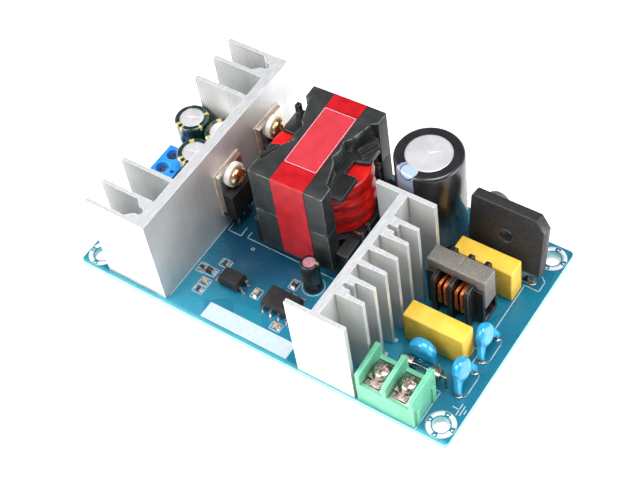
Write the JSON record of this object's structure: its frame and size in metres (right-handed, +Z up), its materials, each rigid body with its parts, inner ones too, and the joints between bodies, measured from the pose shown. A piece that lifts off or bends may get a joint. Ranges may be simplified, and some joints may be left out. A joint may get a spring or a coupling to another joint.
{
  "type": "open frame power supply",
  "caption": "Open frame power supply: a blue circuit board with finned aluminium heatsinks, a red-taped transformer, capacitors, a choke, a bridge rectifier and screw terminals.",
  "frame": {"origin": "centre of the four corner holes on the underside of the board", "axes": "+X along the board towards the mains terminal end, +Y towards the back long edge, +Z up from the board"},
  "size_m": [0.116, 0.0664, 0.0375],
  "materials": {
    "board": "satin",
    "solder": "satin",
    "sink_aluminium": "satin",
    "plated_steel": "satin",
    "black_moulding": "matt",
    "pad": "matt",
    "white_nylon": "gloss",
    "zinc_screw": "polished",
    "ferrite": "matt",
    "red_tape": "gloss",
    "red_label": "gloss",
    "tinned_copper": "satin",
    "can_aluminium": "satin",
    "black_sleeve": "gloss",
    "green_sleeve": "gloss",
    "grey_sleeve": "satin",
    "yellow_case": "satin",
    "blue_epoxy": "gloss",
    "grey_ceramic": "matt",
    "choke_ferrite": "matt",
    "copper_wire": "polished",
    "clear_glass": "gloss",
    "nickel": "polished",
    "green_terminal": "satin",
    "blue_terminal": "satin",
    "chip_ceramic": "matt"
  },
  "bodies": {
    "root": {"circuit_board": "board", "solder_joints": "solder", "output_heatsink": "sink_aluminium", "primary_heatsink": "sink_aluminium", "heatsink_pins": "plated_steel", "front_rectifier_body": "black_moulding", "front_rectifier_frame": "plated_steel", "rear_rectifier_body": "black_moulding", "rear_rectifier_frame": "plated_steel", "transistor_body": "black_moulding", "transistor_frame": "plated_steel", "insulating_pads": "pad", "shoulder_washers": "white_nylon", "clamp_screws": "zinc_screw", "transformer_core_top": "ferrite", "transformer_core_bottom": "ferrite", "transformer_bobbin": "black_moulding", "transformer_winding": "red_tape", "winding_leads": "tinned_copper", "core_tape": "red_tape", "core_label": "red_label", "transformer_pins": "plated_steel", "bulk_capacitor_can": "can_aluminium", "bulk_capacitor_sleeve": "black_sleeve", "bulk_capacitor_leads": "plated_steel", "bridge_rectifier": "black_moulding", "bridge_rectifier_leads": "plated_steel", "inrush_limiter": "grey_ceramic", "front_box_capacitor": "yellow_case", "rear_box_capacitor": "yellow_case", "choke_core_left": "choke_ferrite", "choke_core_right": "choke_ferrite", "choke_bobbin": "black_moulding", "choke_windings": "copper_wire", "choke_pins": "plated_steel", "front_disc_capacitor": "blue_epoxy", "rear_disc_capacitor": "blue_epoxy", "surge_absorber": "blue_epoxy", "wire_leads": "plated_steel", "fuse_tube": "clear_glass", "fuse_caps": "nickel", "fuse_element": "plated_steel", "input_terminal_body": "green_terminal", "input_terminal_contacts": "nickel", "input_terminal_clamps": "nickel", "input_terminal_screws": "nickel", "output_terminal_body": "blue_terminal", "output_terminal_clamps": "nickel", "output_terminal_screws": "nickel", "output_capacitor_cans": "can_aluminium", "output_capacitor_sleeves": "green_sleeve", "small_capacitor_leads": "plated_steel", "output_inductor": "grey_sleeve", "aux_capacitor_can": "can_aluminium", "aux_capacitor_sleeve": "black_sleeve", "control_ic": "black_moulding", "optocoupler": "black_moulding", "surface_leads": "plated_steel", "chip_parts": "chip_ceramic"}
  },
  "joints": []
}
